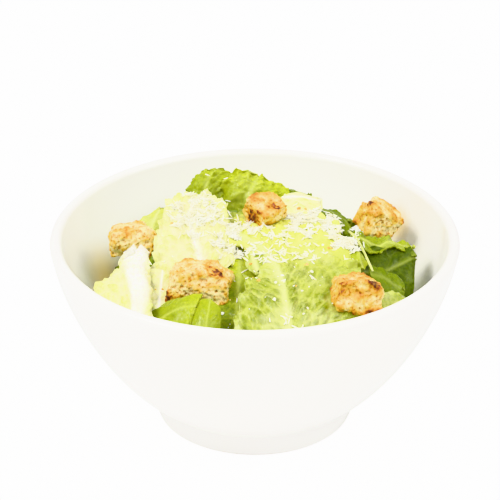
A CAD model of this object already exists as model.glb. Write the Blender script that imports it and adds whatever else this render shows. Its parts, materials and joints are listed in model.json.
import json
import math
import random

import bpy
import numpy as np
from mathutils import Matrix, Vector, kdtree, noise
from mathutils.bvhtree import BVHTree

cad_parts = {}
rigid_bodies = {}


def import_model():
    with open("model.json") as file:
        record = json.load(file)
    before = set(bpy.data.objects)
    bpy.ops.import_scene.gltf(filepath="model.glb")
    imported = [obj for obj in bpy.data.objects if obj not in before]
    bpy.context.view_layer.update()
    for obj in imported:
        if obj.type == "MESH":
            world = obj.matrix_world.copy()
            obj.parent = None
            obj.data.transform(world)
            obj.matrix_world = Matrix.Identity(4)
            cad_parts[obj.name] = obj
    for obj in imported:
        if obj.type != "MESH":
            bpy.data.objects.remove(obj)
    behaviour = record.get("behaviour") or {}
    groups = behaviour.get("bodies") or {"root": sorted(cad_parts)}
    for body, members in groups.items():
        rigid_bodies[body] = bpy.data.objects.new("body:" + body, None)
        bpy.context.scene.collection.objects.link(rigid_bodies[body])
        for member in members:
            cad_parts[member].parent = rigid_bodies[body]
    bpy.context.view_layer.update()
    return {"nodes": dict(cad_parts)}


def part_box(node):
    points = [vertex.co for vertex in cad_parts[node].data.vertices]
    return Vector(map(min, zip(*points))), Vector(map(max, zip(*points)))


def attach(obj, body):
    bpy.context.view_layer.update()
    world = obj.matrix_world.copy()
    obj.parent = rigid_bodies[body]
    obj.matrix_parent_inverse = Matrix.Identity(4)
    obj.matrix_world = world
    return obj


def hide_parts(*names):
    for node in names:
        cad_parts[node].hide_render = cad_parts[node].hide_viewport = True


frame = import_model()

MM = 0.001
bowl_low, bowl_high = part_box("bowl")
rim_radius = (bowl_high.x - bowl_low.x) / 2
rim_height = bowl_high.z


# ---------------------------------------------------------------------------------------------
# Camera. A short telephoto stands in front of the bowl and looks down on it at the angle of
# someone about to sit down to eat, aimed a little below the rim.
camera_distance = 0.700
camera_elevation = math.radians(27.6)
camera_lens = 136.95
aim = Vector((-1.78 * MM, 0.0, rim_height - 7.7 * MM))

bpy.ops.object.camera_add()
camera = bpy.context.object
camera.name = "camera"
camera.data.sensor_width = 36.0
camera.data.lens = camera_lens
camera.data.clip_start = 0.01
towards_camera = Vector((0.0, -math.cos(camera_elevation), math.sin(camera_elevation)))
camera.location = aim + towards_camera * camera_distance
camera.rotation_euler = (math.pi / 2 - camera_elevation, 0.0, 0.0)
bpy.context.scene.camera = camera


# ---------------------------------------------------------------------------------------------
# Table and studio light. A pale seamless table, a bright white room all round it and three
# large softboxes: the main one up on the left, one over the camera and a weak one on the right.
room_white = (1.0, 1.0, 1.0, 1.0)
room_strength = 0.70
backdrop_strength = 30.0
table_glow = 5.0
left_power, left_size, left_place = 18.0, 0.55, Vector((-0.80, -0.25, 1.15))
front_power, front_size, front_place = 9.0, 0.8, Vector((0.0, -0.95, 1.15))
right_power, right_size, right_place = 12.0, 0.8, Vector((0.80, -0.35, 1.10))
table_size = 6.0

bpy.context.scene.view_settings.view_transform = "Khronos PBR Neutral"
bpy.ops.object.select_all(action="DESELECT")
bpy.ops.mesh.primitive_plane_add(size=table_size, location=(0.0, 0.0, 0.0))
table = bpy.context.object
table.name = "table"
paper = bpy.data.materials.new("table_white")
paper.use_nodes = True
paper_nodes = paper.node_tree.nodes
paper_shader = paper_nodes["Principled BSDF"]
paper_shader.inputs["Base Color"].default_value = (0.95, 0.95, 0.95, 1.0)
paper_shader.inputs["Roughness"].default_value = 0.7
paper_shader.inputs["Specular IOR Level"].default_value = 0.2
paper_shader.inputs["Emission Color"].default_value = (1.0, 1.0, 1.0, 1.0)
# The table is lit from below for the eye alone, so that it is as white as the wall behind.
sight = paper_nodes.new("ShaderNodeLightPath")
glow = paper_nodes.new("ShaderNodeMath")
glow.operation = "MULTIPLY"
glow.inputs[1].default_value = table_glow
paper.node_tree.links.new(sight.outputs["Is Camera Ray"], glow.inputs[0])
paper.node_tree.links.new(glow.outputs[0], paper_shader.inputs["Emission Strength"])
table.data.materials.append(paper)

world = bpy.data.worlds.new("white_room")
world.use_nodes = True
world_nodes = world.node_tree.nodes
room = world_nodes["Background"]
room.inputs["Color"].default_value = room_white
backdrop = world_nodes.new("ShaderNodeMapRange")
backdrop.inputs["To Min"].default_value = room_strength
backdrop.inputs["To Max"].default_value = backdrop_strength
world_sight = world_nodes.new("ShaderNodeLightPath")
world.node_tree.links.new(world_sight.outputs["Is Camera Ray"], backdrop.inputs["Value"])
world.node_tree.links.new(backdrop.outputs["Result"], room.inputs["Strength"])
bpy.context.scene.world = world


def softbox(name, place, size, power):
    bpy.ops.object.light_add(type="AREA", location=place)
    lamp = bpy.context.object
    lamp.name = name
    lamp.data.size = size
    lamp.data.energy = power
    lamp.rotation_euler = (-place).to_track_quat("-Z", "Y").to_euler()
    return lamp


softbox("softbox_left", left_place, left_size, left_power)
softbox("softbox_front", front_place, front_size, front_power)
softbox("softbox_right", right_place, right_size, right_power)


# ---------------------------------------------------------------------------------------------
# Bowl. White stoneware thrown on a wheel: a steep wall that sweeps in to a turned foot ring,
# a full round lip, and a clear white glaze everywhere but on the ring that it stands on.
wall_thickness = 4.2 * MM
wall_start = (35.0 * MM, 8.0 * MM)
floor_start = (26.0 * MM, 9.0 * MM)
foot_radius = 37.2 * MM
foot_height = 8.0 * MM
foot_ring_width = 5.0 * MM
foot_recess = 3.0 * MM
foot_round = 0.8 * MM
lip_bead = 0.35 * MM
lip_bead_height = 4.0 * MM
wheel_steps = 144
wall_stations = 30
lip_stations = 12
# Dressing wiped on the inside of the wall: middle and reach in mm, and how much of it.
smear_tint = (0.900, 0.700, 0.330, 1.0)
smears = [((-59, 22, 41), 19, 1.0), ((55, 38, 57), 10, 1.0)]


def deselect_all():
    bpy.ops.object.select_all(action="DESELECT")


def bowl_wall(z, start, end_radius, lean, fullness):
    rise = min(max((z - start[1]) / (rim_height - start[1]), 0.0), 1.0)
    return start[0] + (end_radius - start[0]) * (1.0 - (1.0 - rise) ** lean) ** (1.0 / fullness)


def outer_wall(z):
    below = (rim_height - z) / lip_bead_height
    bead = lip_bead * math.sin(math.pi * below) if 0.0 < below < 1.0 else 0.0
    return min(bowl_wall(z, wall_start, rim_radius, 1.52, 1.43) + bead, rim_radius)


def inner_wall(z):
    return bowl_wall(z, floor_start, rim_radius - wall_thickness, 1.455, 1.68)


def bowl_outline():
    """Half of the bowl's cross-section, from the middle of its floor over the lip to the foot."""
    lip = wall_thickness / 2
    lip_z = rim_height - lip
    climb = [(i / wall_stations) ** 1.7 for i in range(wall_stations)]
    points = [(0.0, floor_start[1]), (floor_start[0] * 0.5, floor_start[1])]
    points += [(floor_start[0] * 0.9, floor_start[1])]
    points += [(inner_wall(z), z) for z in (floor_start[1] + (lip_z - floor_start[1]) * c for c in climb)]
    middle = (inner_wall(lip_z) + outer_wall(lip_z)) / 2
    half = (outer_wall(lip_z) - inner_wall(lip_z)) / 2
    for i in range(lip_stations + 1):
        turn = math.pi * (1 - i / lip_stations)
        points.append((middle + half * math.cos(turn), lip_z + lip * math.sin(turn)))
    low = foot_height * 1.25
    points += [(outer_wall(z), z) for z in (low + (lip_z - low) * c for c in reversed(climb))]
    inside = foot_radius - foot_ring_width
    points += [
        (foot_radius + 0.5 * MM, foot_height * 1.02),
        (foot_radius, foot_height * 0.82),
        (foot_radius - 0.1 * MM, foot_height * 0.45),
        (foot_radius, foot_round),
        (foot_radius - foot_round * 0.3, foot_round * 0.3),
        (foot_radius - foot_round, 0.0),
        (inside + foot_round, 0.0),
        (inside, foot_round),
        (inside - foot_round, foot_recess),
        (inside * 0.5, foot_recess),
        (0.0, foot_recess),
    ]
    return points


outline = bowl_outline()
deselect_all()
bpy.ops.mesh.primitive_circle_add(vertices=len(outline), radius=rim_radius, fill_type="NOTHING")
bowl = bpy.context.object
bowl.name = "bowl_glazed"
for corner, (radius, height) in zip(bowl.data.vertices, outline):
    corner.co = (radius, 0.0, height)
bpy.ops.object.mode_set(mode="EDIT")
bpy.ops.mesh.select_all(action="SELECT")
bpy.ops.mesh.spin(steps=wheel_steps, angle=math.tau, center=(0, 0, 0), axis=(0, 0, 1))
bpy.ops.mesh.select_all(action="SELECT")
bpy.ops.mesh.remove_doubles(threshold=0.01 * MM)
bpy.ops.mesh.delete_loose()
bpy.ops.mesh.select_all(action="SELECT")
bpy.ops.mesh.normals_make_consistent(inside=False)
bpy.ops.object.mode_set(mode="OBJECT")
bpy.ops.object.transform_apply(location=True, rotation=True, scale=True)
bpy.ops.object.shade_smooth()


def points_of(mesh):
    places = np.empty(len(mesh.vertices) * 3, np.float32)
    mesh.vertices.foreach_get("co", places)
    return places.reshape(-1, 3).astype(float)


def ease(values):
    values = np.clip(values, 0.0, 1.0)
    return values * values * (3.0 - 2.0 * values)


def give_attribute(mesh, name, values):
    made = mesh.attributes.new(name, "FLOAT", "POINT")
    made.data.foreach_set("value", np.asarray(values, np.float32))


places = points_of(bowl.data)
inside = np.array([math.hypot(x, y) < inner_wall(z) + 1.0 * MM for x, y, z in places])
smear = np.zeros(len(places))
for middle, reach, amount in smears:
    off = np.linalg.norm(places - np.array(middle) * MM, axis=1) / (reach * MM)
    smear = np.maximum(smear, amount * ease(1.0 - off) * inside)
give_attribute(bowl.data, "smear", smear)


def node_of(tree, kind, place, **settings):
    made = tree.nodes.new(kind)
    made.location = place
    for name, value in settings.items():
        setattr(made, name, value)
    return made


def feed(tree, source, target):
    tree.links.new(source, target)


def ramp_of(tree, place, source, stops):
    """A colour ramp fed by source. stops are (position, grey or colour) pairs."""
    ramp = node_of(tree, "ShaderNodeValToRGB", place)
    elements = ramp.color_ramp.elements
    while len(elements) < len(stops):
        elements.new(0.5)
    for element, (position, colour) in zip(elements, stops):
        element.position = position
        element.color = colour if hasattr(colour, "__len__") else (colour, colour, colour, 1.0)
    feed(tree, source, ramp.inputs["Fac"])
    return ramp.outputs["Color"]


def noise_of(tree, place, coordinates, scale, detail=3.0, roughness=0.5):
    made = node_of(tree, "ShaderNodeTexNoise", place)
    made.inputs["Scale"].default_value = scale
    made.inputs["Detail"].default_value = detail
    made.inputs["Roughness"].default_value = roughness
    feed(tree, coordinates, made.inputs["Vector"])
    return made.outputs["Fac"]


def mix_of(tree, place, share, low, high, blend="MIX"):
    """Mixes two colours. share, low and high are sockets, or plain values."""
    made = node_of(tree, "ShaderNodeMix", place, data_type="RGBA", blend_type=blend)
    for socket, value in ((made.inputs[0], share), (made.inputs[6], low), (made.inputs[7], high)):
        if isinstance(value, bpy.types.NodeSocket):
            feed(tree, value, socket)
        else:
            socket.default_value = value
    return made.outputs[2]


def math_of(tree, place, operation, first, second=0.0, clamp=False):
    made = node_of(tree, "ShaderNodeMath", place, operation=operation, use_clamp=clamp)
    for socket, value in ((made.inputs[0], first), (made.inputs[1], second)):
        if isinstance(value, bpy.types.NodeSocket):
            feed(tree, value, socket)
        else:
            socket.default_value = value
    return made.outputs[0]


def bump_of(tree, place, height, distance, strength=1.0, normal=None):
    made = node_of(tree, "ShaderNodeBump", place)
    made.inputs["Strength"].default_value = strength
    made.inputs["Distance"].default_value = distance
    feed(tree, height, made.inputs["Height"])
    if normal is not None:
        feed(tree, normal, made.inputs["Normal"])
    return made.outputs["Normal"]


def white_glaze():
    """A thick clear glaze over white clay: bright, faintly wavy, with a few pinholes."""
    finish = bpy.data.materials.new("white_glaze")
    finish.use_nodes = True
    tree = finish.node_tree
    shader = tree.nodes["Principled BSDF"]
    place = node_of(tree, "ShaderNodeTexCoord", (-1400, 0)).outputs["Object"]
    cloud = noise_of(tree, (-1200, 200), place, 28.0, 3.0)
    glaze = ramp_of(tree, (-1000, 200), cloud, [
        (0.30, (0.925, 0.908, 0.870, 1.0)),
        (0.70, (0.940, 0.926, 0.895, 1.0)),
    ])
    pin = node_of(tree, "ShaderNodeTexVoronoi", (-1200, -100))
    pin.inputs["Scale"].default_value = 190.0
    feed(tree, place, pin.inputs["Vector"])
    pinhole = math_of(tree, (-1000, -100), "LESS_THAN", pin.outputs["Distance"], 0.045)
    few = math_of(tree, (-1000, -280), "GREATER_THAN", cloud, 0.60)
    speck = math_of(tree, (-800, -150), "MULTIPLY", pinhole, few)
    glaze = mix_of(tree, (-600, 150), speck, glaze, (0.62, 0.58, 0.52, 1.0))
    wiped_on = node_of(tree, "ShaderNodeAttribute", (-1000, 420), attribute_name="smear").outputs["Fac"]
    glaze = mix_of(tree, (-500, 300), wiped_on, glaze, smear_tint)
    # The flat of the foot ring is wiped bare before firing.
    split = node_of(tree, "ShaderNodeSeparateXYZ", (-1200, -450))
    feed(tree, place, split.inputs["Vector"])
    wiped = math_of(tree, (-1000, -450), "LESS_THAN", split.outputs["Z"], 0.55 * MM)
    colour = mix_of(tree, (-400, 100), wiped, glaze, (0.74, 0.70, 0.63, 1.0))
    feed(tree, colour, shader.inputs["Base Color"])
    ripple = noise_of(tree, (-1200, -700), place, 75.0, 2.0)
    gloss = ramp_of(tree, (-800, -450), ripple, [(0.30, 0.10), (0.75, 0.17)])
    feed(tree, mix_of(tree, (-400, -200), wiped, gloss, (0.8, 0.8, 0.8, 1.0)), shader.inputs["Roughness"])
    feed(tree, bump_of(tree, (-400, -600), ripple, 0.06 * MM, 0.5), shader.inputs["Normal"])
    shader.inputs["IOR"].default_value = 1.5
    return finish


bowl.data.materials.append(white_glaze())
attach(bowl, "root")
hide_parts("bowl")


# ---------------------------------------------------------------------------------------------
# Bed of leaves. The torn leaves deep in the bowl, which show only as dark green hollows
# between the upper ones: the heap's own form, drawn in a little and crumpled.
bed_shrink = 3.0 * MM
bed_sink = 2.5 * MM
bed_crumple = 1.6 * MM
bed_edge = (40.0 * MM, 60.0 * MM)
bed_top = (72.0 * MM, 40.0 * MM)
wall_gap = 0.5 * MM


def copy_of_node(node, name):
    """A free copy of a CAD node's mesh, with its loose corners merged."""
    deselect_all()
    copy = bpy.data.objects.new(name, frame["nodes"][node].data.copy())
    bpy.context.scene.collection.objects.link(copy)
    copy.data.materials.clear()
    bpy.context.view_layer.objects.active = copy
    copy.select_set(True)
    bpy.ops.object.mode_set(mode="EDIT")
    bpy.ops.mesh.select_all(action="SELECT")
    bpy.ops.mesh.remove_doubles(threshold=0.02 * MM)
    bpy.ops.object.mode_set(mode="OBJECT")
    return copy


def apply_modifier(piece, kind, **settings):
    modifier = piece.modifiers.new(kind.lower(), kind)
    for name, value in settings.items():
        setattr(modifier, name, value)
    bpy.context.view_layer.objects.active = piece
    bpy.ops.object.modifier_apply(modifier=modifier.name)


def normals_of(mesh):
    ways = np.empty(len(mesh.vertices) * 3, np.float32)
    mesh.vertices.foreach_get("normal", ways)
    return ways.reshape(-1, 3).astype(float)


def put_points(mesh, places):
    mesh.vertices.foreach_set("co", places.astype(np.float32).ravel())
    mesh.update()


def noise_at(places, spacing, seed):
    """Smooth noise from -1 to 1 at each point, with lumps about as large as spacing."""
    shift = Vector((seed * 7.31, seed * 3.17, seed * 1.73))
    return np.array([noise.noise(Vector(p) / spacing + shift) for p in places])


def keep_in_bowl(places, gap):
    """Moves points that are in the bowl's wall, or nearer to it than gap, back inside."""
    out = np.hypot(places[:, 0], places[:, 1])
    limit = np.array([inner_wall(max(z, floor_start[1])) for z in places[:, 2]]) - gap
    places[:, :2] *= np.minimum(1.0, limit / np.maximum(out, 1e-6))[:, None]


bed = copy_of_node("salad_heap", "leaf_bed")
apply_modifier(bed, "REMESH", mode="VOXEL", voxel_size=1.1 * MM, use_smooth_shade=True)
places = points_of(bed.data)
ways = normals_of(bed.data)
up = np.clip(ways[:, 2], 0.0, 1.0)
places -= ways * bed_shrink * up[:, None]
places[:, 2] -= bed_sink * up
to_wall = np.clip((np.hypot(places[:, 0], places[:, 1]) - bed_edge[0]) / (bed_edge[1] - bed_edge[0]), 0, 1)
lid = bed_top[0] + (bed_top[1] - bed_top[0]) * to_wall**2 * (3 - 2 * to_wall)
places[:, 2] = np.where(places[:, 2] > lid, lid + 0.1 * (places[:, 2] - lid), places[:, 2])
fold = np.abs(noise_at(places, 5.0 * MM, 1.0)) * 2.0 - 0.5
places += ways * (fold * bed_crumple * up)[:, None]
keep_in_bowl(places, wall_gap)
put_points(bed.data, places)
give_attribute(bed.data, "fold", np.clip(fold * 0.6 + 0.4, 0.0, 1.0))


def bed_finish():
    finish = bpy.data.materials.new("leaf_bed")
    finish.use_nodes = True
    tree = finish.node_tree
    shader = tree.nodes["Principled BSDF"]
    place = node_of(tree, "ShaderNodeTexCoord", (-1200, 0)).outputs["Object"]
    fold = node_of(tree, "ShaderNodeAttribute", (-1200, 250), attribute_name="fold").outputs["Fac"]
    patch = noise_of(tree, (-1000, 0), place, 70.0, 4.0)
    green = ramp_of(tree, (-800, 250), fold, [
        (0.10, (0.090, 0.150, 0.003, 1.0)),
        (0.85, (0.330, 0.400, 0.020, 1.0)),
    ])
    deep = ramp_of(tree, (-800, 0), patch, [
        (0.35, (0.55, 0.62, 0.40, 1.0)),
        (0.70, (1.0, 1.0, 1.0, 1.0)),
    ])
    feed(tree, mix_of(tree, (-500, 150), 1.0, green, deep, "MULTIPLY"), shader.inputs["Base Color"])
    crease = noise_of(tree, (-1000, -300), place, 420.0, 3.0)
    feed(tree, bump_of(tree, (-500, -300), crease, 0.3 * MM, 0.6), shader.inputs["Normal"])
    shader.inputs["Roughness"].default_value = 0.45
    return finish


bed.data.materials.append(bed_finish())
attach(bed, "root")
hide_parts("salad_heap")


# ---------------------------------------------------------------------------------------------
# Romaine leaves. Torn pieces of crisp leaf: a stiff pale rib, side veins that branch off it and
# run forward, and a thin blade that blisters between the veins and frills along its edge.
leaf_grain = 0.52 * MM
blade_thickness = 0.5 * MM


def smooth_through(stations, place):
    """Points that run smoothly through the stations, read at place, 0 to 1 along them."""
    stations = np.asarray(stations, float)
    before = 2 * stations[0] - stations[1]
    after = 2 * stations[-1] - stations[-2]
    a = np.concatenate([[before], stations, [after]])
    whole = np.clip(place, 0.0, 1.0)
    steps = whole * (len(stations) - 1)
    i = np.clip(steps.astype(int), 0, len(stations) - 2)
    f = (steps - i)[:, None]
    beyond = ((place - whole) * (len(stations) - 1))[:, None] * (stations[-1] - stations[-2])
    return beyond + 0.5 * (
        2 * a[i + 1]
        + (a[i + 2] - a[i]) * f
        + (2 * a[i] - 5 * a[i + 1] + 4 * a[i + 2] - a[i + 3]) * f**2
        + (3 * a[i + 1] - a[i] - 3 * a[i + 2] + a[i + 3]) * f**3
    )


def unit(vectors):
    return vectors / np.maximum(np.linalg.norm(vectors, axis=1, keepdims=True), 1e-12)


def cells_at(places, spacing):
    """Distance to the nearest cell's middle, and how far from its border, in cell widths."""
    near = np.empty(len(places))
    gap = np.empty(len(places))
    for k, place in enumerate(places):
        distances, _ = noise.voronoi(Vector(place) / spacing)
        near[k] = distances[0]
        gap[k] = distances[1] - distances[0]
    return near, gap


def romaine_leaf(
    name,
    left,
    spine,
    right,
    finish,
    rib=(1.5, 0.5),
    rib_rise=0.4,
    rib_edge=2,
    frill=1.6,
    frill_spacing=8.0,
    frill_reach=9.0,
    blister=0.8,
    blister_size=4.4,
    crumple=0.5,
    vein_spacing=7.5,
    vein_lean=1.2,
    tip=0.25,
    stem_end=0.06,
    ragged=0.05,
    torn=0.8,
    roll=1.2,
    thick=1.4,
    pale=(2.0, 3.0),
    grain=leaf_grain,
    seed=1.0,
):
    """A piece of leaf stretched over three lines from stem end to tip, all in mm.

    left and right are its two edges and spine its rib. rib is the rib's half width at either
    end, pale where along the leaf it starts to lose its green and where that is complete.
    """
    rails = [np.array(line, float) * MM for line in (left, spine, right)]
    length = np.linalg.norm(np.diff(rails[1], axis=0), axis=1).sum()
    widest = max(np.linalg.norm(rails[0] - rails[1], axis=1)) + max(np.linalg.norm(rails[2] - rails[1], axis=1))
    rows = max(int(length / grain), 8)
    columns = max(int(widest / grain), 8)
    deselect_all()
    bpy.ops.mesh.primitive_grid_add(x_subdivisions=columns, y_subdivisions=rows, size=2.0)
    leaf = bpy.context.object
    leaf.name = name
    mesh = leaf.data
    flat = points_of(mesh)
    across = flat[:, 0]
    along = (flat[:, 1] + 1.0) / 2.0

    def stretched(s, c):
        """The bare surface: a parabola over the two edges and the rib."""
        l, m, r = (smooth_through(rail, s) for rail in rails)
        return m + c[:, None] * (r - l) / 2 + (c**2)[:, None] * ((r + l) / 2 - m)

    middle = smooth_through(rails[1], along)
    half_left = np.linalg.norm(smooth_through(rails[0], along) - middle, axis=1)
    half_right = np.linalg.norm(smooth_through(rails[2], along) - middle, axis=1)
    half = np.where(across < 0, half_left, half_right)

    # Both ends are rounded off, and the edge is a little uneven.
    past_tip = np.maximum(along - (1 - tip), 0) / max(tip, 1e-3)
    past_stem = np.maximum(stem_end - along, 0) / max(stem_end, 1e-3)
    rounding = np.sqrt(np.clip(1 - past_tip**2.2, 0.01, 1)) * np.sqrt(np.clip(1 - past_stem**2, 0.05, 1))
    edge_place = np.stack([along * length, np.sign(across) * 10 * MM, np.zeros_like(along)], 1)
    jags = noise_at(edge_place, 5 * MM, seed) + 0.7 * noise_at(edge_place, 1.9 * MM, seed + 5)
    shift = across * rounding * (1 + ragged * jags)
    end_place = np.stack([across * half, np.zeros_like(across), np.full_like(across, 0.01)], 1)
    cut = noise_at(end_place, 3 * MM, seed + 21) + 0.6 * noise_at(end_place, 1.2 * MM, seed + 22)
    climb = along + (torn * MM / length) * cut * ease((along - 0.8) / 0.2)
    position = stretched(climb, shift)
    step = 0.004
    over_along = stretched(climb + step, shift) - stretched(climb - step, shift)
    over_across = stretched(climb, shift + step) - stretched(climb, shift - step)
    normal = unit(np.cross(over_across, over_along))
    out = shift * half
    run = along * length
    off_rib = np.abs(out)

    # Relief: the rib, the side veins, blisters between them and frills towards the edge.
    rib_half = (rib[0] + (rib[1] - rib[0]) * along) * MM
    rib_mask = np.exp(-((off_rib / rib_half) ** rib_edge) * 1.2)
    on_leaf = np.stack([run, out, np.full_like(out, seed * 0.01)], 1)
    phase = (run - vein_lean * off_rib) / (vein_spacing * MM)
    phase += 0.35 * noise_at(on_leaf, 12 * MM, seed + 2) + np.where(across < 0, 0.0, 0.43)
    from_vein = np.abs(phase - np.round(phase)) * vein_spacing * MM
    fade = np.clip(1.2 - off_rib / np.maximum(half, 1e-6), 0.3, 1.0)
    vein_mask = np.exp(-((from_vein / (0.40 * MM)) ** 2)) * fade
    warp = noise_at(on_leaf, 7 * MM, seed + 31)[:, None] * 1.2 * MM
    slant = np.stack([(run - 0.5 * vein_lean * off_rib) * 0.85, out, np.full_like(out, seed * 0.03)], 1) + warp
    near, gap = cells_at(slant, blister_size * MM)
    _, fine_gap = cells_at(slant, blister_size * 0.42 * MM)
    net_mask = np.exp(-((gap / 0.12) ** 2))
    fine_net = np.exp(-((fine_gap / 0.16) ** 2))
    swell = ease(gap / 0.6) * (1 - vein_mask * 0.85) * (1 - rib_mask)
    inwards = np.minimum((1 - np.abs(across)) * half * rounding, (1 - along) * length)
    margin = np.clip(1 - inwards / (frill_reach * MM), 0, 1)
    lobes = np.sin(3.0 * math.pi * noise_at(on_leaf, frill_spacing * 1.5 * MM, seed + 9))
    crimp = np.sin(3.0 * math.pi * noise_at(on_leaf, frill_spacing * 0.6 * MM, seed + 11))
    waves = noise_at(on_leaf, 20 * MM, seed + 13)
    stretch = np.stack([run * 0.6, out, np.full_like(out, seed * 0.02)], 1)
    crease = 1 - 2 * np.abs(noise_at(stretch, 5.0 * MM, seed + 41))
    wrinkle = 1 - 2 * np.abs(noise_at(stretch, 2.2 * MM, seed + 43))
    drips = np.stack([run * 0.18, out, np.full_like(out, seed * 0.04)], 1)
    streak = noise_at(drips, 1.5 * MM, seed + 51) + 0.5 * noise_at(drips, 4.0 * MM, seed + 52)
    relief = blister * (swell + 0.25 * ease(fine_gap / 0.5) - 0.25 * vein_mask)
    relief += crumple * (0.75 * crease + 0.35 * wrinkle) * (1 - 0.8 * rib_mask)
    relief += rib_rise * rib_mask
    relief += frill * (margin**1.6 * lobes + 0.35 * margin**3 * crimp) * (1 - rib_mask)
    relief += roll * waves * 1.5 * (1 - 0.7 * rib_mask)
    places = position + normal * (relief * MM)[:, None]
    keep_in_bowl(places, wall_gap)
    put_points(mesh, places)

    paleness = ease((along - pale[0]) / (pale[1] - pale[0]))
    give_attribute(mesh, "vein", np.clip(np.maximum(vein_mask, 0.55 * net_mask), 0, 1))
    give_attribute(mesh, "net", fine_net)
    give_attribute(mesh, "rib", rib_mask)
    give_attribute(mesh, "margin", margin)
    give_attribute(mesh, "swell", np.clip(swell, 0, 1))
    give_attribute(mesh, "pale", paleness)
    give_attribute(mesh, "streak", np.clip(streak * 1.8 - 0.25, 0, 1))
    body = leaf.vertex_groups.new(name="body")
    thinnest = blade_thickness / (thick * MM)
    for value in range(0, 11):
        chosen = np.nonzero(np.round(rib_mask * 10) == value)[0]
        body.add([int(k) for k in chosen], min(max(thinnest, value / 10), 1.0), "REPLACE")
    apply_modifier(leaf, "SOLIDIFY", thickness=thick * MM, offset=-1.0, vertex_group="body", use_rim=True)
    bpy.ops.object.shade_smooth_by_angle(angle=math.radians(60))
    mesh.materials.append(finish)
    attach(leaf, "root")
    leaf_pieces.append(leaf)
    return leaf


def leaf_finish(name, blade, swollen, vein, rib, edge, pale_blade, film, roughness=0.36, shine=0.3):
    """Romaine skin: blade colours between veins, paler veins and rib, a wet shine in patches."""
    finish = bpy.data.materials.new(name)
    finish.use_nodes = True
    tree = finish.node_tree
    shader = tree.nodes["Principled BSDF"]
    place = node_of(tree, "ShaderNodeTexCoord", (-2000, 0)).outputs["Object"]

    def mask(attribute, height):
        return node_of(tree, "ShaderNodeAttribute", (-2000, height), attribute_name=attribute).outputs["Fac"]

    patch = noise_of(tree, (-1800, 0), place, 55.0, 4.0, 0.6)
    patchy = ramp_of(tree, (-1600, 0), patch, [(0.34, 0.0), (0.66, 1.0)])
    body = math_of(tree, (-1400, 200), "MULTIPLY", mask("swell", 200), patchy)
    colour = mix_of(tree, (-1200, 200), body, blade, swollen)
    rim = math_of(tree, (-1400, 420), "MULTIPLY", mask("margin", 420), 0.7)
    colour = mix_of(tree, (-1050, 200), rim, colour, edge)
    colour = mix_of(tree, (-900, 200), mask("pale", 1080), colour, pale_blade)
    threads = noise_of(tree, (-1800, -250), place, 900.0, 2.0)
    faint = ramp_of(tree, (-1600, -250), threads, [
        (0.35, (0.84, 0.89, 0.78, 1.0)),
        (0.65, (1.0, 1.0, 1.0, 1.0)),
    ])
    colour = mix_of(tree, (-750, 0), 1.0, colour, faint, "MULTIPLY")
    thin = math_of(tree, (-1400, 640), "MULTIPLY", mask("net", 1300), 0.35)
    colour = mix_of(tree, (-700, 200), thin, colour, vein)
    colour = mix_of(tree, (-600, 200), mask("vein", 640), colour, vein)
    colour = mix_of(tree, (-400, 200), mask("rib", 860), colour, rib)
    # A thin film of dressing lies in patches and has run along the blade in streaks.
    spread = noise_of(tree, (-1800, -1000), place, 85.0, 5.0, 0.55)
    patches = ramp_of(tree, (-1600, -1000), spread, [(0.50, 0.0), (0.66, 1.0)])
    coated = math_of(tree, (-1300, -1000), "MAXIMUM", patches, mask("streak", 1500))
    colour = mix_of(tree, (-250, 200), math_of(tree, (-400, 420), "MULTIPLY", coated, film), colour, dressing_tint)
    feed(tree, colour, shader.inputs["Base Color"])
    wet = noise_of(tree, (-1800, -500), place, 150.0, 3.0)
    gloss = ramp_of(tree, (-1600, -500), wet, [(0.40, roughness + 0.14), (0.60, roughness - 0.10)])
    gloss = mix_of(tree, (-250, -200), coated, gloss, (0.12, 0.12, 0.12, 1.0))
    feed(tree, gloss, shader.inputs["Roughness"])
    grain = node_of(tree, "ShaderNodeTexVoronoi", (-1800, -750), feature="DISTANCE_TO_EDGE")
    grain.inputs["Scale"].default_value = 760.0
    feed(tree, place, grain.inputs["Vector"])
    cells = ramp_of(tree, (-1600, -750), grain.outputs["Distance"], [(0.0, 0.0), (0.18, 1.0)])
    fine = bump_of(tree, (-800, -600), cells, 0.10 * MM, 0.5)
    coarse = bump_of(tree, (-600, -600), wet, 0.6 * MM, 0.4, fine)
    feed(tree, coarse, shader.inputs["Normal"])
    shader.inputs["Subsurface Weight"].default_value = 0.4
    shader.inputs["Subsurface Radius"].default_value = (0.9, 1.0, 0.5)
    shader.inputs["Subsurface Scale"].default_value = 1.0 * MM
    shader.inputs["Specular IOR Level"].default_value = shine
    return finish


leaf_pieces = []
dressing_tint = (0.830, 0.820, 0.520, 1.0)
pale_heart = (0.630, 0.630, 0.140, 1.0)
light_leaf = leaf_finish(
    "romaine_light",
    blade=(0.200, 0.238, 0.009, 1.0),
    swollen=(0.140, 0.182, 0.005, 1.0),
    vein=(0.465, 0.490, 0.120, 1.0),
    rib=(0.580, 0.600, 0.240, 1.0),
    edge=(0.310, 0.360, 0.035, 1.0),
    pale_blade=pale_heart,
    film=0.20,
)
heart_leaf = leaf_finish(
    "romaine_heart",
    blade=(0.740, 0.705, 0.370, 1.0),
    swollen=(0.500, 0.510, 0.100, 1.0),
    vein=(0.850, 0.820, 0.520, 1.0),
    rib=(0.940, 0.925, 0.840, 1.0),
    edge=(0.640, 0.640, 0.220, 1.0),
    pale_blade=pale_heart,
    film=0.42,
)
green_leaf = leaf_finish(
    "romaine_green",
    blade=(0.122, 0.168, 0.002, 1.0),
    swollen=(0.078, 0.126, 0.002, 1.0),
    vein=(0.270, 0.315, 0.022, 1.0),
    rib=(0.360, 0.400, 0.070, 1.0),
    edge=(0.170, 0.225, 0.004, 1.0),
    pale_blade=(0.440, 0.470, 0.030, 1.0),
    film=0.07,
    shine=0.22,
)
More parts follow.
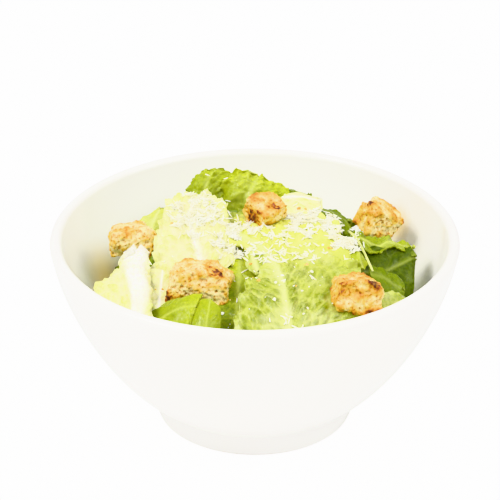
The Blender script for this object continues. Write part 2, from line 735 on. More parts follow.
dark_leaf = leaf_finish(
    "romaine_dark",
    blade=(0.042, 0.070, 0.001, 1.0),
    swollen=(0.028, 0.050, 0.001, 1.0),
    vein=(0.090, 0.125, 0.006, 1.0),
    rib=(0.190, 0.230, 0.035, 1.0),
    edge=(0.075, 0.115, 0.002, 1.0),
    pale_blade=(0.170, 0.225, 0.005, 1.0),
    film=0.02,
    roughness=0.46,
    shine=0.14,
)

# The largest leaf lies over the whole middle of the heap. Its stem end goes down the front wall
# and its rib bends away to the left on top.
romaine_leaf(
    "middle_leaf",
    left=[(-7, -64, 57), (-6.3, -57, 66), (-5.2, -45, 69.6), (-2, -32, 69.6), (1, -22, 70), (0, -13, 70.5),
          (-7, -3, 71), (-13, 8, 71)],
    spine=[(12, -65, 57), (11.3, -57, 66.5), (10.3, -46, 70.5), (9.4, -34, 71.8), (7, -22, 72.2),
           (3, -11, 72.2), (-4, -1, 72.4), (-10, 11, 71.8)],
    right=[(40, -52, 56), (39, -46, 63), (38, -38, 66.5), (37.5, -28, 68.5), (36, -15, 70),
           (33, -3, 71), (27, 13, 71.2), (13, 27, 69)],
    finish=light_leaf,
    rib=(1.8, 0.8),
    frill=1.5,
    blister=1.0,
    tip=0.12,
    roll=0.9,
    pale=(0.40, 0.72),
    seed=3,
    crumple=0.7,
    ragged=0.03,
    blister_size=5.2,
    vein_spacing=5.5,
    vein_lean=1.6,
)
# Its left edge turns over into a small curled flap.
romaine_leaf(
    "curled_flap",
    left=[(0.5, -29, 70.6), (-2.5, -23, 71.0), (-4.6, -16, 71.2)],
    spine=[(1, -28, 71.8), (-0.5, -21, 73), (-1.5, -15, 72.6)],
    right=[(1.8, -27, 71.4), (3, -20, 72.6), (2.5, -13.5, 72.4)],
    finish=light_leaf,
    frill=0.5,
    blister=0.3,
    roll=0.4,
    tip=0.3,
    seed=41,
    crumple=0.15,
)
romaine_leaf(
    "cheese_leaf",
    left=[(-33, -19, 62.5), (-36, -11, 65.7), (-37, -1, 67.8), (-33.5, 9, 69.8), (-31.5, 22, 69.2), (-28, 33, 68)],
    spine=[(-18, -20, 66), (-21, -8, 69.8), (-23, 4, 71.8), (-24, 16, 72.6), (-22.5, 27, 71.8), (-20, 34.5, 70.4)],
    right=[(-8, -20, 65.5), (-8, -8, 69), (-9.5, 4, 71.3), (-11.5, 15, 71.8), (-12, 23, 70), (-12.5, 29, 68.5)],
    finish=heart_leaf,
    frill=1.4,
    frill_spacing=7.0,
    blister=2.0,
    tip=0.18,
    torn=1.6,
    seed=11,
    crumple=2.2,
    ragged=0.03,
    roll=1.5,
)
# Behind, one leaf stands up in two curly lobes with a deep fold between them.
romaine_leaf(
    "curly_lobe_left",
    left=[(-23, 40, 57), (-25, 42, 66.5), (-24.6, 44, 72.5), (-21, 47, 76)],
    spine=[(-19, 35, 57), (-20, 37.5, 68), (-18, 41.5, 74.5), (-14.5, 46, 77)],
    right=[(-9, 38, 57), (-11.5, 41, 65.5), (-9, 45, 72.5), (-8, 48, 76)],
    finish=green_leaf,
    frill=0.5,
    frill_spacing=6.5,
    frill_reach=6.0,
    blister=1.3,
    blister_size=3.6,
    tip=0.3,
    seed=19,
    crumple=0.7,
    ragged=0.015,
    pale=(-0.5, 1.9),
)
romaine_leaf(
    "curly_lobe_right",
    left=[(-17, 39, 57), (-15.5, 40.5, 66.5), (-10.5, 43.5, 73.5), (-8.5, 46, 76.2)],
    spine=[(-3, 35, 57), (-3, 37.5, 67.5), (0, 41.5, 72.8), (1.5, 46, 74)],
    right=[(10, 37, 57), (12.5, 39, 65.5), (13.5, 41, 68.3), (12.5, 44, 69.3)],
    finish=green_leaf,
    frill=0.8,
    frill_spacing=5.5,
    blister=1.2,
    blister_size=4.4,
    vein_spacing=5.0,
    vein_lean=0.5,
    tip=0.16,
    torn=1.6,
    pale=(-0.3, 1.0),
    seed=22,
    crumple=0.9,
    ragged=0.02,
)
romaine_leaf(
    "right_leaf",
    left=[(35, 0, 67.5), (44, 0.5, 66.6), (51, 2, 66), (57.8, 4, 64.4)],
    spine=[(36, -8, 61), (45.5, -7, 60), (52, -4, 61), (58.8, 0, 62.6)],
    right=[(38, -18, 54), (46, -19, 52), (53.5, -18, 51), (58.6, -12, 51)],
    finish=dark_leaf,
    rib=(0.9, 0.7),
    frill=0.6,
    blister=0.45,
    vein_spacing=5.5,
    vein_lean=0.9,
    tip=0.03,
    torn=0.3,
    roll=1.0,
    seed=23,
    crumple=0.35,
)
# Its upper edge is folded over and crumpled.
romaine_leaf(
    "right_fold",
    left=[(35.5, 4, 71), (40, 5, 70.4), (45, 7, 68.4), (50, 8, 66.8), (55, 9, 64.6), (59.2, 9, 63.4)],
    spine=[(36.5, 2, 70.2), (40.5, 1, 69.6), (45.3, 2, 66.5), (50, 4.5, 67.2), (55, 5, 65), (58.8, 6, 64.2)],
    right=[(37.8, 0.5, 69), (41.2, -3, 66.8), (45.5, -3, 65.8), (50.5, 0, 66.4), (55, 1, 64.2), (58.2, 3, 63.4)],
    finish=green_leaf,
    frill=1.5,
    frill_spacing=6.0,
    frill_reach=5.0,
    blister=0.5,
    tip=0.15,
    seed=26,
    pale=(-0.5, 2.5),
)
romaine_leaf(
    "right_strip",
    left=[(40.5, -14.5, 67), (44.5, -15, 66.6), (48.5, -16, 65), (54.2, -18, 62.2)],
    spine=[(41.3, -19, 65.6), (46, -19.5, 64.6), (50, -21, 62.4), (53.6, -22, 60.4)],
    right=[(42.5, -23, 62), (47, -24.5, 60), (50.5, -26, 57.6), (52.5, -26, 56)],
    finish=dark_leaf,
    frill=0.5,
    blister=0.35,
    tip=0.12,
    roll=0.5,
    seed=29,
    pale=(-0.8, 1.1),
)
romaine_leaf(
    "front_right_leaf",
    left=[(28, -46, 62), (40, -37, 63.8), (47.5, -28.5, 64.3), (53.5, -23.5, 60)],
    spine=[(32, -52, 60.5), (44, -42, 62), (51.5, -32.5, 61.8), (56.5, -27, 57.6)],
    right=[(35, -57, 56), (48, -46.5, 57), (55, -37.5, 56.5), (58, -31, 54)],
    finish=light_leaf,
    frill=0.4,
    blister=0.3,
    roll=0.7,

    seed=31,
    ragged=0.02,
    crumple=0.2,
)
romaine_leaf(
    "small_leaf",
    left=[(32.5, -3, 71.2), (34, -12, 70.2), (35.5, -20, 68.2)],
    spine=[(35, -4, 71.4), (37.4, -12, 70.4), (38.2, -19.5, 68.4)],
    right=[(37.2, -4.5, 69.8), (40, -11, 68), (40.6, -17, 66.8)],
    finish=green_leaf,
    frill=0.5,
    blister=0.3,
    tip=0.3,
    roll=0.4,
    pale=(-0.5, 1.5),
    seed=37,
)
romaine_leaf(
    "gap_leaf",
    left=[(-15, -63, 55), (-16, -48, 61), (-16, -34, 64.5), (-15, -20, 67), (-13, -6, 69), (-10, 4, 70)],
    spine=[(-6, -64, 56), (-6, -48, 62), (-6, -34, 65.5), (-5.5, -20, 68), (-5, -6, 69.8), (-3, 4, 70.4)],
    right=[(3, -63, 56), (3, -48, 63), (3, -34, 66), (3, -20, 68), (3, -6, 69.6), (5, 4, 70.2)],
    finish=green_leaf,
    frill=0.5,
    blister=0.5,
    vein_lean=0.1,
    vein_spacing=8.0,
    seed=43,
    crumple=0.25,
    pale=(0.38, 0.68),
)
# At the left front a torn piece of heart leaf shows the back of its thick white rib.
romaine_leaf(
    "white_rib_leaf",
    left=[(-48, -46, 58), (-53.5, -37, 60), (-56.6, -28, 60.6), (-57.0, -21, 62.0), (-53.6, -16.5, 63.2), (-49.2, -15, 65.4), (-48.9, -13, 68.4)],
    spine=[(-41.2, -52, 63), (-41.3, -46, 66.6), (-41.8, -38, 68.7), (-42.8, -30, 69.5), (-43.6, -23, 69.8), (-43.6, -17, 70.1), (-42.8, -12, 71.4)],
    right=[(-34.5, -53, 60), (-36.2, -46, 65.2), (-37.2, -38, 67.4), (-37.7, -30, 68), (-37.9, -24, 68.2), (-38.2, -18, 68.4), (-38.9, -13, 68.6)],
    finish=heart_leaf,
    rib=(1.8, 6.4),
    rib_rise=1.0,
    frill=0.5,
    blister=0.9,
    thick=1.8,
    tip=0.04,
    torn=2.4,
    roll=0.6,
    seed=47,
    rib_edge=4,
    crumple=0.5,
    ragged=0.02,
    blister_size=5.0,
    pale=(-0.8, 2.2),
)
romaine_leaf(
    "pale_left_leaf",
    left=[(-41, -43, 59.5), (-40.5, -30, 64.2), (-39.5, -11, 66.2)],
    spine=[(-34, -44, 61), (-33.5, -31, 65), (-33, -12, 67)],
    right=[(-25, -45, 59.5), (-24, -32, 63), (-23.5, -13, 66.5)],
    finish=heart_leaf,
    frill=0.6,
    blister=0.8,
    seed=53,
    crumple=0.7,
    rib=(0.6, 0.4),
)
romaine_leaf(
    "left_wall_leaf",
    left=[(-45, 16, 59), (-44, 26, 61.5), (-41, 33, 63.6)],
    spine=[(-40, 14, 61), (-38.5, 25, 64), (-36, 34, 65.6)],
    right=[(-32, 12, 62), (-31, 23, 65), (-30, 34, 66)],
    finish=light_leaf,
    frill=0.8,
    blister=0.5,
    pale=(-0.4, 1.4),
    seed=59,
)
# In front of the left crouton a leaf folds sharply over on itself.
romaine_leaf(
    "folded_leaf",
    left=[(-38, -38, 61), (-31, -40, 66), (-25, -42, 69), (-17.4, -44.5, 71.7)],
    spine=[(-37, -47, 60), (-30, -48, 65.8), (-24.5, -49, 69), (-20.2, -49.5, 69.6)],
    right=[(-34, -56, 55), (-27, -58, 61), (-23, -58.5, 63.5), (-22.6, -56, 65.6)],
    finish=green_leaf,
    rib=(0.9, 0.4),
    frill=0.3,
    blister=0.3,
    tip=0.02,
    torn=0.1,
    roll=0.4,
    pale=(-0.6, 1.8),
    seed=61,
    crumple=0.15,
    ragged=0.02,
)
romaine_leaf(
    "folded_lobe",
    left=[(-22.2, -60, 61.5), (-22.6, -55, 65.6), (-20.6, -49.5, 69.2), (-17.8, -45.2, 71.6)],
    spine=[(-17.4, -61.5, 61), (-16.8, -57, 66.6), (-16.0, -52.5, 69.9), (-15.6, -47.5, 71.8)],
    right=[(-12.8, -61, 60), (-12, -55, 65.6), (-12.1, -50.5, 69), (-14, -47.5, 71)],
    finish=green_leaf,
    rib=(0.5, 0.3),
    rib_rise=0.1,
    frill=0.3,
    blister=0.25,
    tip=0.12,
    torn=0.1,
    roll=0.3,
    seed=67,
    crumple=0.1,
    ragged=0.02,
    pale=(-1.0, 2.4),
)
romaine_leaf(
    "back_strip",
    left=[(8, 43, 67.6), (17, 42, 68.2), (24.8, 39.5, 67.6)],
    spine=[(9, 38.5, 68.3), (17.5, 37.5, 68.9), (25, 35.5, 68)],
    right=[(10, 26, 65.5), (18, 25, 66.4), (26.5, 27, 65.2)],
    finish=heart_leaf,
    rib=(0.9, 0.7),
    blister=0.5,
    frill=0.3,
    tip=0.08,
    roll=0.5,
    seed=71,
    crumple=0.5,
    torn=0.5,
)
romaine_leaf(
    "back_dark_leaf",
    left=[(22.5, 36, 66), (29, 33.5, 65.8), (34, 27.5, 65.4), (37, 19, 64.6)],
    spine=[(23.5, 32, 66.6), (29, 28.5, 67.2), (33.6, 23, 66.6), (36.2, 15.5, 65.6)],
    right=[(25, 26, 66.6), (29, 20.5, 67.6), (32.5, 15, 67.6), (34.5, 9, 66.6)],
    finish=dark_leaf,
    frill=0.4,
    blister=0.4,
    pale=(-1.5, 1.5),
    seed=73,
)
romaine_leaf(
    "back_edge_leaf",
    left=[(6, 49, 67), (14, 48.5, 66.6), (21, 46, 65.8)],
    spine=[(6.5, 47, 68), (14, 46.6, 67.6), (21, 44, 66.8)],
    right=[(7, 43, 67), (14, 43, 67), (20.6, 41, 66.4)],
    finish=dark_leaf,
    frill=0.4,
    blister=0.3,
    pale=(-1.0, 1.4),
    seed=79,
)
# Leaves deeper in fill the heap at the back and along its sides.
romaine_leaf(
    "back_low_left",
    left=[(-38, 36, 52), (-30, 48, 56), (-18, 54, 57)],
    spine=[(-30, 28, 58), (-24, 38, 62), (-15, 44, 62)],
    right=[(-22, 22, 60), (-17, 30, 64), (-10, 36, 64)],
    finish=green_leaf,
    seed=83,
)
romaine_leaf(
    "back_low_middle",
    left=[(-14, 56, 52), (0, 58, 55), (14, 56, 54)],
    spine=[(-12, 47, 60), (0, 49, 62), (13, 47, 61)],
    right=[(-10, 38, 62), (0, 40, 64), (12, 38, 64)],
    finish=light_leaf,
    frill=1.4,
    seed=89,
)
romaine_leaf(
    "back_low_right",
    left=[(16, 56, 52), (30, 49, 54), (42, 38, 54)],
    spine=[(14, 47, 59), (26, 42, 61), (37, 32, 60)],
    right=[(12, 38, 63), (22, 34, 64), (32, 24, 64)],
    finish=green_leaf,
    frill=1.4,
    seed=97,
)
romaine_leaf(
    "right_low_leaf",
    left=[(34, 32, 56), (43, 24, 57), (49, 12, 55)],
    spine=[(29, 25, 62), (37, 17, 62.5), (45, 6, 60)],
    right=[(25, 18, 64), (32, 9, 65.5), (39, -1, 63)],
    finish=green_leaf,
    frill=1.0,
    seed=101,
)
romaine_leaf(
    "left_low_leaf",
    left=[(-44, -8, 50), (-45, 4, 53), (-43, 18, 55)],
    spine=[(-40, -10, 57), (-41, 3, 58), (-39, 16, 59)],
    right=[(-33, -12, 61), (-34, 1, 63), (-32, 14, 63)],
    finish=green_leaf,
    frill=1.0,
    seed=103,
)
romaine_leaf(
    "front_low_leaf",
    left=[(-34, -50, 50), (-20, -56, 53), (-2, -60, 54)],
    spine=[(-32, -42, 57), (-18, -48, 60), (-2, -50, 61)],
    right=[(-28, -32, 61), (-15, -38, 63), (0, -40, 64)],
    finish=green_leaf,
    frill=0.6,
    seed=107,
)

# Round the wall torn leaves lie on one another, tips outwards, lower in front than at the back.
ring_count = 15
ring_radius = (27.0, 38.0, 49.0, 58.0, 63.0)
ring_height = (60.0, 55.0, 47.0, 39.5, 35.0)
back_lift = (4.0, 7.0, 11.0, 14.0, 15.0)
ring_finish = (
    heart_leaf, light_leaf, green_leaf, dark_leaf, green_leaf,
    light_leaf, green_leaf, heart_leaf, heart_leaf, green_leaf,
    light_leaf, green_leaf, dark_leaf, green_leaf, light_leaf,
)
chance = random.Random(8)
for k in range(ring_count):
    turn = math.tau * (k + chance.uniform(-0.2, 0.2)) / ring_count
    lean = turn + chance.uniform(-0.5, 0.5)
    out = Vector((math.cos(lean), math.sin(lean), 0.0))
    side = Vector((out.y, -out.x, 0.0))
    start = Vector((math.cos(turn), math.sin(turn), 0.0)) * ring_radius[0]
    at_back = max(0.0, math.sin(turn)) ** 3
    lift = chance.uniform(-0.6, 0.9)
    half = chance.uniform(12.0, 16.0)
    lines = ([], [], [])
    for step, (radius, height) in enumerate(zip(ring_radius, ring_height)):
        middle = start + out * (radius - ring_radius[0]) + Vector((0.0, 0.0, height + lift + back_lift[step] * at_back))
        wide = half * (0.75, 0.95, 1.05, 1.0, 0.85)[step]
        lines[0].append(middle - side * wide - Vector((0.0, 0.0, 1.6)))
        lines[1].append(middle)
        lines[2].append(middle + side * wide - Vector((0.0, 0.0, 1.6)))
    romaine_leaf(
        "ring_leaf_%02d" % (k + 1),
        *lines,
        finish=ring_finish[k],
        frill=1.5,
        blister=0.9,
        tip=0.22,
        ragged=0.05,
        grain=0.75 * MM,
        seed=111 + 2 * k,
    )
romaine_leaf(
    "crown_back_leaf",
    left=[(-16, 14, 66), (-14, 24, 66.8), (-10, 34, 65.5)],
    spine=[(-4, 12, 68.4), (-1, 23, 67.6), (2, 34, 65.6)],
    right=[(8, 14, 67.5), (12, 24, 66.8), (15, 33, 65)],
    finish=light_leaf,
    frill=1.2,
    blister=0.9,
    seed=151,
)

# A thin bare stalk lies across the right-hand leaves.
stalk_line = [(34.6, 5, 71.2), (37, -1, 71.4), (39.4, -8, 69.8), (41.4, -15, 67.8), (42.4, -18, 66.6)]
stalk_radius = 0.62
deselect_all()
bpy.ops.mesh.primitive_cylinder_add(vertices=14, radius=1.0, depth=2.0, end_fill_type="NGON")
stalk = bpy.context.object
stalk.name = "thin_stalk"
bpy.ops.object.mode_set(mode="EDIT")
bpy.ops.mesh.select_all(action="SELECT")
bpy.ops.mesh.bisect(plane_co=(0, 0, 0), plane_no=(0, 0, 1))
bpy.ops.object.mode_set(mode="OBJECT")
for level in (0.5, -0.5, 0.25, -0.25, 0.75, -0.75):
    bpy.ops.object.mode_set(mode="EDIT")
    bpy.ops.mesh.select_all(action="SELECT")
    bpy.ops.mesh.bisect(plane_co=(0, 0, level), plane_no=(0, 0, 1))
    bpy.ops.object.mode_set(mode="OBJECT")
round_points = points_of(stalk.data)
share = (round_points[:, 2] + 1.0) / 2.0
core = smooth_through(np.array(stalk_line) * MM, share)
ahead = unit(smooth_through(np.array(stalk_line) * MM, share + 0.05) - smooth_through(np.array(stalk_line) * MM, share - 0.05))
side = unit(np.cross(ahead, np.tile([0.0, 0.0, 1.0], (len(share), 1))))
above = np.cross(side, ahead)
swelling = stalk_radius * MM * (1.0 - 0.35 * share + 0.12 * noise_at(core, 3 * MM, 5.0))
put_points(stalk.data, core + side * (round_points[:, 0] * swelling)[:, None] + above * (round_points[:, 1] * swelling * 0.75)[:, None])
for label, value in (("vein", 0.0), ("net", 0.0), ("rib", 0.75), ("margin", 0.0), ("swell", 0.0), ("pale", 0.6), ("streak", 0.0)):
    give_attribute(stalk.data, label, np.full(len(share), value))
bpy.ops.object.shade_smooth()
stalk.data.materials.append(light_leaf)
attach(stalk, "root")


# ---------------------------------------------------------------------------------------------
# Croutons. Cubes of white bread cut by hand and toasted in oil: an open crumb full of holes,
# golden all over, browner along the edges and corners that touched the pan.
crouton_names = sorted(node for node in frame["nodes"] if node.startswith("crouton"))
crumb_voxel = 0.34 * MM
# Where a crumb has broken away: part of the crouton's box, radius and depth in mm.
broken = {
    "crouton_front_left": [((0.62, 0.15, 0.0), 5.0, 3.0), ((0.0, 0.3, 1.0), 4.5, 2.4)],
    "crouton_front_right": [
        ((0.08, 0.0, 0.0), 10.5, 8.0),
        ((0.0, 0.65, 0.15), 7.5, 4.5),
        ((0.28, 0.0, 0.0), 8.0, 5.0),
        ((0.25, 0.1, 0.18), 5.5, 3.2),
        ((0.45, 0.5, 1.0), 3.2, 1.6),
    ],
    "crouton_left": [
        ((0.03, 0.0, 0.15), 8.5, 6.5),
        ((0.97, 0.8, 0.85), 7.0, 4.0),
        ((0.96, 0.1, 0.15), 5.0, 2.4),
        ((0.05, 0.6, 1.0), 5.0, 2.0),
    ],
    "crouton_right": [((1.0, 0.1, 0.0), 7.0, 4.4), ((0.0, 0.2, 0.0), 4.0, 1.6), ((0.27, 0.7, 1.0), 4.0, 2.4)],
    "crouton_top": [((0.0, 0.1, 1.0), 3.5, 1.6), ((1.0, 0.1, 0.0), 4.0, 1.8), ((0.6, 0.76, 1.0), 3.5, 1.2)],
}
# Where it touched the pan: part of the box, radius in mm and how dark.
scorched = {
    "crouton_front_left": [((0.76, 0.35, 0.98), 5.0, 1.0), ((0.0, 0.1, 0.40), 4.0, 1.0), ((0.9, 0.2, 0.1), 3.6, 0.8)],
    "crouton_front_right": [((0.85, 0.3, 0.95), 3.2, 0.5), ((0.75, 0.0, 0.35), 2.6, 0.6), ((0.05, 0.2, 0.4), 2.2, 0.6)],
    "crouton_left": [((0.3, 0.3, 1.0), 4.0, 0.35), ((0.8, 0.0, 0.2), 7.0, 0.8)],
    "crouton_right": [((0.3, 0.5, 1.0), 4.0, 0.7), ((0.65, 0.1, 0.05), 3.6, 0.8), ((1.0, 0.3, 0.6), 4.0, 0.4)],
    "crouton_top": [((0.1, 0.3, 0.55), 3.8, 0.9), ((0.8, 0.3, 0.8), 3.4, 0.7), ((0.5, 0.2, 0.1), 6.5, 0.7)],
}
# How far each was toasted all over.
browning = {
    "crouton_front_left": -0.12,
    "crouton_front_right": 0.14,
    "crouton_left": -0.14,
    "crouton_right": 0.04,
    "crouton_top": 0.10,
}


def toasted_crouton(node, seed):
    crouton = copy_of_node(node, node + "_toasted")
    apply_modifier(crouton, "REMESH", mode="VOXEL", voxel_size=crumb_voxel, use_smooth_shade=True)
    apply_modifier(crouton, "SMOOTH", factor=0.5, iterations=8)
    mesh = crouton.data
    places = points_of(mesh)
    low, high = places.min(0), places.max(0)
    middle = (low + high) / 2
    for part, reach, depth in broken[node]:
        spot = low + (high - low) * np.array(part)
        pull = ease(1.0 - np.linalg.norm(places - spot, axis=1) / (reach * MM))
        places += unit(middle - places) * (pull * depth * MM)[:, None]
    put_points(mesh, places)
    ways = normals_of(mesh)
    lump = noise_at(places, 6.5 * MM, seed)
    knob = noise_at(places, 2.6 * MM, seed + 1)
    rough = noise_at(places, 1.1 * MM, seed + 3)
    fine = noise_at(places, 0.5 * MM, seed + 6)
    pore = np.zeros(len(places))
    for k, place in enumerate(places):
        distances, centres = noise.voronoi(Vector(place) / (1.55 * MM))
        depth = 0.5 + 0.7 * noise.noise(centres[0] * 3.7)
        pore[k] = max(0.0, 1.0 - distances[0] / (0.30 + 0.25 * depth)) * depth
    relief = 1.0 * lump + 0.6 * knob + 0.38 * rough + 0.30 * fine - 1.1 * pore
    put_points(mesh, places + ways * (relief * MM)[:, None])
    toast = 0.22 + browning[node] + 0.5 * noise_at(places, 4.5 * MM, seed + 8) + 0.35 * knob + 0.25 * rough
    far = np.linalg.norm((places - middle) / (high - low), axis=1)
    toast += 0.9 * (far - 0.5)
    for part, reach, dark in scorched[node]:
        spot = low + (high - low) * np.array(part)
        toast += dark * ease(1.25 - np.linalg.norm(places - spot, axis=1) / (reach * MM)) * (0.7 + 0.6 * rough)
    hollow = pore * 1.8 - 1.1 * rough - 0.7 * fine
    give_attribute(mesh, "pore", np.clip(hollow, 0, 1))
    give_attribute(mesh, "toast", np.clip(toast, 0, 1))
    bpy.ops.object.shade_smooth()
    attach(crouton, "root")
    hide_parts(node)
    return crouton


def toast_finish():
    finish = bpy.data.materials.new("toasted_bread")
    finish.use_nodes = True
    tree = finish.node_tree
    shader = tree.nodes["Principled BSDF"]
    place = node_of(tree, "ShaderNodeTexCoord", (-1800, 0)).outputs["Object"]
    pore = node_of(tree, "ShaderNodeAttribute", (-1800, 300), attribute_name="pore").outputs["Fac"]
    toast = node_of(tree, "ShaderNodeAttribute", (-1800, 500), attribute_name="toast").outputs["Fac"]
    patch = noise_of(tree, (-1600, 0), place, 420.0, 4.0, 0.65)
    shade = math_of(tree, (-1400, 0), "MULTIPLY_ADD", patch, 0.80)
    shade.node.inputs[2].default_value = -0.39
    toast = math_of(tree, (-1200, 200), "ADD", toast, shade)
    crust = ramp_of(tree, (-1000, 200), toast, [
        (0.05, (0.930, 0.800, 0.380, 1.0)),
        (0.30, (0.800, 0.560, 0.105, 1.0)),
        (0.54, (0.640, 0.315, 0.030, 1.0)),
        (0.78, (0.270, 0.070, 0.012, 1.0)),
        (1.00, (0.080, 0.024, 0.010, 1.0)),
    ])
    hollow = math_of(tree, (-900, 420), "MULTIPLY", pore, 0.7)
    crumb = mix_of(tree, (-600, 200), hollow, crust, (0.480, 0.235, 0.026, 1.0))
    speck = noise_of(tree, (-1600, -300), place, 900.0, 2.0)
    specks = ramp_of(tree, (-1400, -300), speck, [
        (0.34, (0.62, 0.42, 0.22, 1.0)),
        (0.47, (1.0, 1.0, 1.0, 1.0)),
    ])
    feed(tree, mix_of(tree, (-400, 100), 1.0, crumb, specks, "MULTIPLY"), shader.inputs["Base Color"])
    feed(tree, bump_of(tree, (-600, -400), speck, 0.3 * MM, 0.8), shader.inputs["Normal"])
    rough = ramp_of(tree, (-1000, -100), patch, [(0.35, 0.66), (0.70, 0.46)])
    feed(tree, rough, shader.inputs["Roughness"])
    shader.inputs["Subsurface Weight"].default_value = 0.15
    shader.inputs["Subsurface Radius"].default_value = (1.0, 0.6, 0.25)
    shader.inputs["Subsurface Scale"].default_value = 0.6 * MM
    return finish


toasted = toast_finish()
for k, node in enumerate(crouton_names):
    toasted_crouton(node, 2.0 + 5.0 * k).data.materials.append(toasted)


# ---------------------------------------------------------------------------------------------
# Grated hard cheese. Fine curved shreds from a grater, dropped over the crown of the heap,
# thickest on the middle leaves, with a few strays among the others.
shred_steps = 4
clump = 4.5 * MM
bare = -0.08


def surface_of(pieces):
    """The given pieces as one surface that things can be dropped on."""
    corners = []
    faces = []
    for piece in pieces:
        start = len(corners)
        corners += [tuple(v.co) for v in piece.data.vertices]
        faces += [tuple(start + k for k in f.vertices) for f in piece.data.polygons]
    return BVHTree.FromPolygons(corners, faces)


leaf_ground = surface_of(leaf_pieces)


def shred_rows(place, way, normal, length, width, thickness, bend):
    """Corners of one shred: a flat thread that bends up at its ends and is thinner there."""
    side = way.cross(normal).normalized()
    rows = []
    for step in range(shred_steps):
        s = step / (shred_steps - 1) - 0.5
        taper = 1.0 - 1.1 * abs(s) ** 1.5
        middle = place + way * (s * length) + normal * (bend * length * (2 * s) ** 2 * 0.2)
        middle += side * (bend * length * 0.35 * math.sin(3 * s))
        across = side * (width * taper / 2)
        deep = normal * (thickness * taper / 2)
        rows.append([middle - across - deep, middle + across - deep, middle + across + deep, middle - across + deep])
    return rows


def mesh_piece(name, corners, faces):
    mesh = bpy.data.meshes.new(name)
    mesh.from_pydata(corners, [], faces)
    piece = bpy.data.objects.new(name, mesh)
    bpy.context.scene.collection.objects.link(piece)
    deselect_all()
    piece.select_set(True)
    bpy.context.view_layer.objects.active = piece
    bpy.ops.object.mode_set(mode="EDIT")
    bpy.ops.mesh.select_all(action="SELECT")
    bpy.ops.mesh.normals_make_consistent(inside=False)
    bpy.ops.object.mode_set(mode="OBJECT")
    bpy.ops.object.shade_smooth()
    return piece


def drop_point(ground, chance, x, y, spread_x, spread_y, lowest=52):
    """A chance point of a patch, where it meets the ground, with the ground's slope there."""
    turn = chance.uniform(0, math.tau)
    out = math.sqrt(chance.random()) * chance.uniform(0.8, 1.05)
    at = Vector((x + spread_x * out * math.cos(turn), y + spread_y * out * math.sin(turn), 200.0)) * MM
    hit, normal, _, _ = ground.ray_cast(at, Vector((0, 0, -1)))
    if hit is None or hit.z < lowest * MM:
        return None
    return hit, normal if normal.z > 0 else -normal


def grated_cheese(name, fields, seed):
    """One mesh of all the shreds.

    fields are (x, y, radius x, radius y, how many, pile, lowest), in mm.
    """
    chance = random.Random(seed)
    corners = []
    faces = []
    for x, y, spread_x, spread_y, count, pile, lowest in fields:
        for _ in range(count):
            found = drop_point(leaf_ground, chance, x, y, spread_x, spread_y, lowest)
            if found is None:
                continue
            hit, normal = found
            if noise.noise(hit / clump) < bare:
                continue
            lift = chance.random() ** 2 * pile * MM
            spin = chance.uniform(0, math.tau)
            way = Vector((math.cos(spin), math.sin(spin), chance.uniform(-0.2, 0.3)))
            way = (way - normal * way.dot(normal) * 0.85).normalized()
            length = chance.triangular(0.7, 4.6, 1.5) * MM
            width = chance.uniform(0.30, 0.62) * MM
            thickness = chance.uniform(0.22, 0.38) * MM
            rows = shred_rows(hit + normal * (0.15 * MM + lift), way, normal, length, width, thickness, chance.uniform(-0.1, 0.5))
            start = len(corners)
            for row in rows:
                corners += [tuple(p) for p in row]
            for step in range(shred_steps - 1):
                for k in range(4):
                    a = start + step * 4 + k
                    b = start + step * 4 + (k + 1) % 4
                    faces.append((a, b, b + 4, a + 4))
            end = start + (shred_steps - 1) * 4
            faces.append((start + 3, start + 2, start + 1, start))
            faces.append((end, end + 1, end + 2, end + 3))
    return mesh_piece(name, corners, faces)


def cheese_finish():
    finish = bpy.data.materials.new("grated_cheese")
    finish.use_nodes = True
    tree = finish.node_tree
    shader = tree.nodes["Principled BSDF"]
    place = node_of(tree, "ShaderNodeTexCoord", (-1200, 0)).outputs["Object"]
    tone = noise_of(tree, (-1000, 0), place, 240.0, 3.0)
    colour = ramp_of(tree, (-800, 0), tone, [
        (0.30, (0.920, 0.880, 0.600, 1.0)),
        (0.60, (0.950, 0.930, 0.790, 1.0)),
    ])
    feed(tree, colour, shader.inputs["Base Color"])
    grain = noise_of(tree, (-1000, -300), place, 1500.0, 2.0)
    feed(tree, bump_of(tree, (-600, -300), grain, 0.1 * MM, 0.6), shader.inputs["Normal"])
    feed(tree, ramp_of(tree, (-800, -150), tone, [(0.3, 0.45), (0.7, 0.6)]), shader.inputs["Roughness"])
    shader.inputs["Subsurface Weight"].default_value = 0.4
    shader.inputs["Subsurface Radius"].default_value = (1.0, 0.9, 0.6)
    shader.inputs["Subsurface Scale"].default_value = 0.8 * MM
    return finish


cheese_fields = [
    (24, 14, 11, 11, 1150, 1.3, 67.5),
    (32, -1, 6, 11, 560, 1.0, 67.5),
    (12, 8, 16, 14, 760, 0.6, 66),
    (14, 22, 8, 6, 300, 0.6, 67),
    (-22, 14, 11, 18, 1150, 0.8, 66),
    (-10, -8, 6, 8, 420, 0.9, 64),
    (-6, 2, 8, 9, 300, 0.6, 64),
    (34, -9, 4, 9, 260, 0.7, 66),
    (8, -14, 20, 9, 220, 0.3, 62),
    (10, -57, 8, 4, 26, 0.15, 60),
    (0, 0, 50, 48, 90, 0.1, 52),
]
cheese = grated_cheese("grated_cheese", cheese_fields, 17)
cheese.data.materials.append(cheese_finish())
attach(cheese, "root")


# ---------------------------------------------------------------------------------------------
# Dressing and crumbs. Drops of pale glossy dressing that stand on the leaves and croutons, and
# crumbs that broke off the croutons and lie where they fell.
drop_count = 60
crumb_count = 46
crumb_by_wall = Vector((-33.0, 32.5, 66.5))

everything = surface_of(leaf_pieces + [bpy.data.objects[node + "_toasted"] for node in crouton_names])


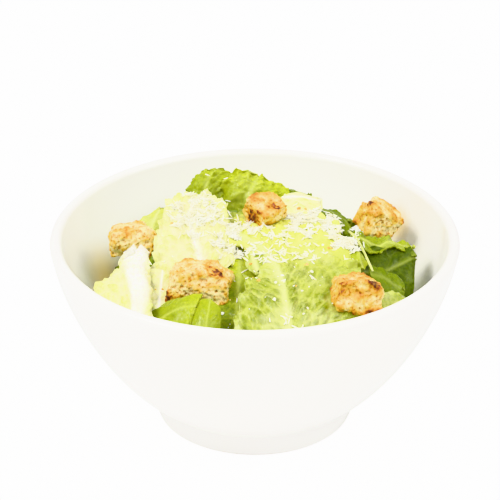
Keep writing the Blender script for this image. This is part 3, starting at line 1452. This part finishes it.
def small_lumps(name, lumps, squash, roughness, seed):
    """One mesh of many small rounded lumps. lumps are (place, slope, radius in mm)."""
    corners = []
    faces = []
    deselect_all()
    bpy.ops.mesh.primitive_ico_sphere_add(subdivisions=2, radius=1.0)
    pattern = bpy.context.object
    ball = [v.co.copy() for v in pattern.data.vertices]
    ball_faces = [tuple(f.vertices) for f in pattern.data.polygons]
    bpy.data.objects.remove(pattern)
    for k, (place, slope, radius) in enumerate(lumps):
        turned = slope.to_track_quat("Z", "Y")
        start = len(corners)
        for point in ball:
            bulge = 1.0 + roughness * noise.noise(point * 1.4 + Vector((k * 3.1 + seed, 0, 0)))
            shaped = Vector((point.x, point.y, point.z * squash)) * (bulge * radius * MM)
            corners.append(tuple(place + turned @ shaped))
        faces += [tuple(start + c for c in f) for f in ball_faces]
    return mesh_piece(name, corners, faces)


def scattered(fields, seed, smallest, largest):
    chance = random.Random(seed)
    lumps = []
    for x, y, spread_x, spread_y, count in fields:
        for _ in range(count):
            found = drop_point(everything, chance, x, y, spread_x, spread_y)
            if found is not None:
                size = smallest + (largest - smallest) * chance.random() ** 2.5
                lumps.append((found[0], found[1], size))
    return lumps


def dressing_finish():
    finish = bpy.data.materials.new("dressing")
    finish.use_nodes = True
    tree = finish.node_tree
    shader = tree.nodes["Principled BSDF"]
    place = node_of(tree, "ShaderNodeTexCoord", (-1000, 0)).outputs["Object"]
    tone = noise_of(tree, (-800, 0), place, 500.0, 2.0)
    feed(tree, ramp_of(tree, (-600, 0), tone, [
        (0.35, (0.860, 0.850, 0.620, 1.0)),
        (0.65, (0.920, 0.915, 0.780, 1.0)),
    ]), shader.inputs["Base Color"])
    feed(tree, ramp_of(tree, (-600, -250), tone, [(0.3, 0.06), (0.7, 0.16)]), shader.inputs["Roughness"])
    feed(tree, bump_of(tree, (-300, -300), tone, 0.05 * MM, 0.4), shader.inputs["Normal"])
    shader.inputs["Subsurface Weight"].default_value = 0.6
    shader.inputs["Subsurface Radius"].default_value = (1.0, 1.0, 0.7)
    shader.inputs["Subsurface Scale"].default_value = 1.0 * MM
    return finish


drop_fields = [(5, -40, 28, 18, drop_count // 2), (0, 5, 42, 40, drop_count // 2)]
drops = small_lumps("dressing_drops", scattered(drop_fields, 31, 0.24, 0.74), 0.45, 0.35, 2.0)
drops.data.materials.append(dressing_finish())
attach(drops, "root")

crumb_fields = [(-20, -28, 20, 12, crumb_count // 2), (0, 0, 45, 42, crumb_count // 2)]
crumb_lumps = scattered(crumb_fields, 37, 0.30, 0.80)
crumb_lumps.append((crumb_by_wall * MM, Vector((0, 0, 1)), 1.0))
crumb_lumps.append(((crumb_by_wall + Vector((2.2, 0.6, 0.2))) * MM, Vector((0, 0, 1)), 0.6))
crumbs = small_lumps("crouton_crumbs", crumb_lumps, 0.75, 0.9, 9.0)
give_attribute(crumbs.data, "pore", np.zeros(len(crumbs.data.vertices)))
give_attribute(crumbs.data, "toast", np.full(len(crumbs.data.vertices), 0.30))
crumbs.data.materials.append(toasted)
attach(crumbs, "root")
